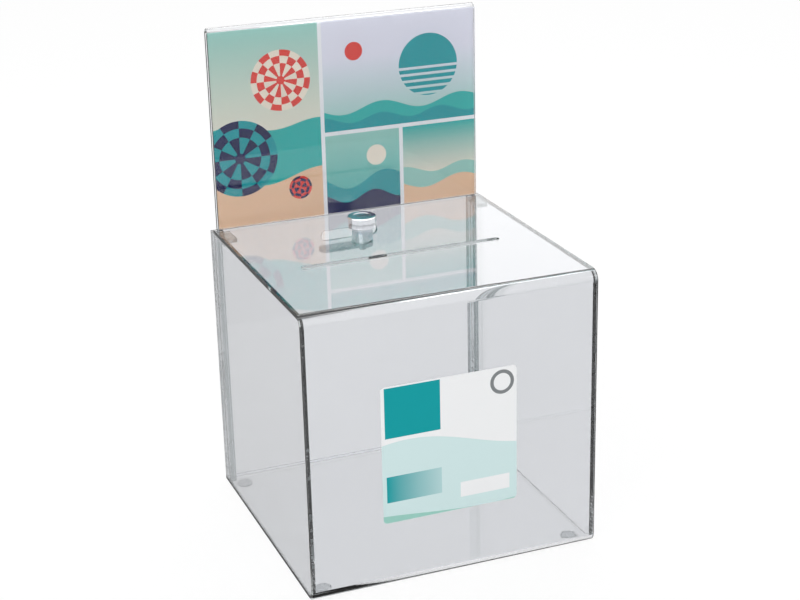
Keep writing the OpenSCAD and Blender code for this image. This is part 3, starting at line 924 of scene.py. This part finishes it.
def studio_world(level):
    """White to the camera, plain light, and in reflections bright above and dim below."""
    world = bpy.data.worlds.new("studio_room")
    bpy.context.scene.world = world
    world.use_nodes = True
    tree = world.node_tree
    tree.nodes.clear()
    path = add(tree, "ShaderNodeLightPath")
    way = add(tree, "ShaderNodeTexCoord").outputs["Generated"]
    split = add(tree, "ShaderNodeSeparateXYZ", {0: way})
    room = add(
        tree, "ShaderNodeMapRange",
        {0: split.outputs["Z"], 1: -ROOM_TILT, 2: ROOM_TILT, 3: ROOM_BELOW, 4: ROOM_ABOVE},
    )
    clear = add(
        tree, "ShaderNodeMath",
        {0: path.outputs["Is Glossy Ray"], 1: path.outputs["Is Transmission Ray"]},
        operation="ADD", use_clamp=True,
    )
    mirrored = add(
        tree, "ShaderNodeMix", {0: path.outputs["Is Transmission Ray"], 2: room.outputs[0], 3: 1.0}
    )
    lit = add(
        tree, "ShaderNodeMix", {0: path.outputs["Is Transmission Ray"], 2: level, 3: level * SHEET_MAKE_UP}
    )
    spread = add(
        tree, "ShaderNodeMath", {0: path.outputs["Diffuse Depth"], 1: 0.5}, operation="GREATER_THAN"
    )
    through = add(tree, "ShaderNodeMix", {0: clear.outputs[0], 2: level, 3: mirrored.outputs[0]})
    indirect = add(tree, "ShaderNodeMix", {0: spread.outputs[0], 2: through.outputs[0], 3: lit.outputs[0]})
    strength = add(
        tree, "ShaderNodeMix", {0: path.outputs["Is Camera Ray"], 2: indirect.outputs[0], 3: 1.0}
    )
    backdrop = add(
        tree, "ShaderNodeBackground", {"Color": linear("#ffffff"), "Strength": strength.outputs[0]}
    )
    add(tree, "ShaderNodeOutputWorld", {"Surface": backdrop.outputs[0]})


class BALLOT_BOX_OT_stage(Operator):
    """Set the camera, the white floor, the room and two soft lamps"""

    bl_idname = "ballot_box.stage"
    bl_label = "Stage"

    def execute(self, context):
        stage = context.scene.ballot_stage
        scene = context.scene
        studio_camera(stage)
        studio_floor()
        studio_world(stage.room_level)
        soft_lamp("key_softbox", KEY_PLACE, KEY_SIZE, stage.key_power)
        soft_lamp("top_softbox", TOP_PLACE, TOP_SIZE, stage.top_power)
        scene.view_settings.view_transform = "Standard"
        # Light turns many corners inside clear sheets
        scene.cycles.max_bounces = 18
        scene.cycles.glossy_bounces = 12
        scene.cycles.transmission_bounces = 18
        return {"FINISHED"}


STEPS = ("stage", "wrap_sheet", "side_panels", "guides", "door", "feet", "papers", "lock")


class BALLOT_BOX_PT_pieces(Panel):
    """Buttons for each group of pieces and for the stage"""

    bl_idname = "BALLOT_BOX_PT_pieces"
    bl_label = "Ballot Box"
    bl_space_type = "VIEW_3D"
    bl_region_type = "UI"
    bl_category = "Ballot Box"

    def draw(self, context):
        for step in STEPS:
            self.layout.operator("ballot_box." + step)
        for group in ("ballot_sheets", "ballot_inks", "ballot_lock", "ballot_stage"):
            settings = getattr(context.scene, group)
            column = self.layout.column(align=True)
            for name in settings.__annotations__:
                column.prop(settings, name)


CLASSES = (
    SheetSettings,
    PrintSettings,
    LockSettings,
    StageSettings,
    BALLOT_BOX_OT_stage,
    BALLOT_BOX_OT_wrap_sheet,
    BALLOT_BOX_OT_side_panels,
    BALLOT_BOX_OT_guides,
    BALLOT_BOX_OT_door,
    BALLOT_BOX_OT_feet,
    BALLOT_BOX_OT_papers,
    BALLOT_BOX_OT_lock,
    BALLOT_BOX_PT_pieces,
)


def register():
    for each in CLASSES:
        bpy.utils.register_class(each)
    bpy.types.Scene.ballot_sheets = PointerProperty(type=SheetSettings)
    bpy.types.Scene.ballot_inks = PointerProperty(type=PrintSettings)
    bpy.types.Scene.ballot_lock = PointerProperty(type=LockSettings)
    bpy.types.Scene.ballot_stage = PointerProperty(type=StageSettings)


def unregister():
    del bpy.types.Scene.ballot_stage
    del bpy.types.Scene.ballot_lock
    del bpy.types.Scene.ballot_inks
    del bpy.types.Scene.ballot_sheets
    for each in reversed(CLASSES):
        bpy.utils.unregister_class(each)


def main():
    register()
    for step in STEPS:
        getattr(bpy.ops.ballot_box, step)()


if __name__ == "__main__":
    main()
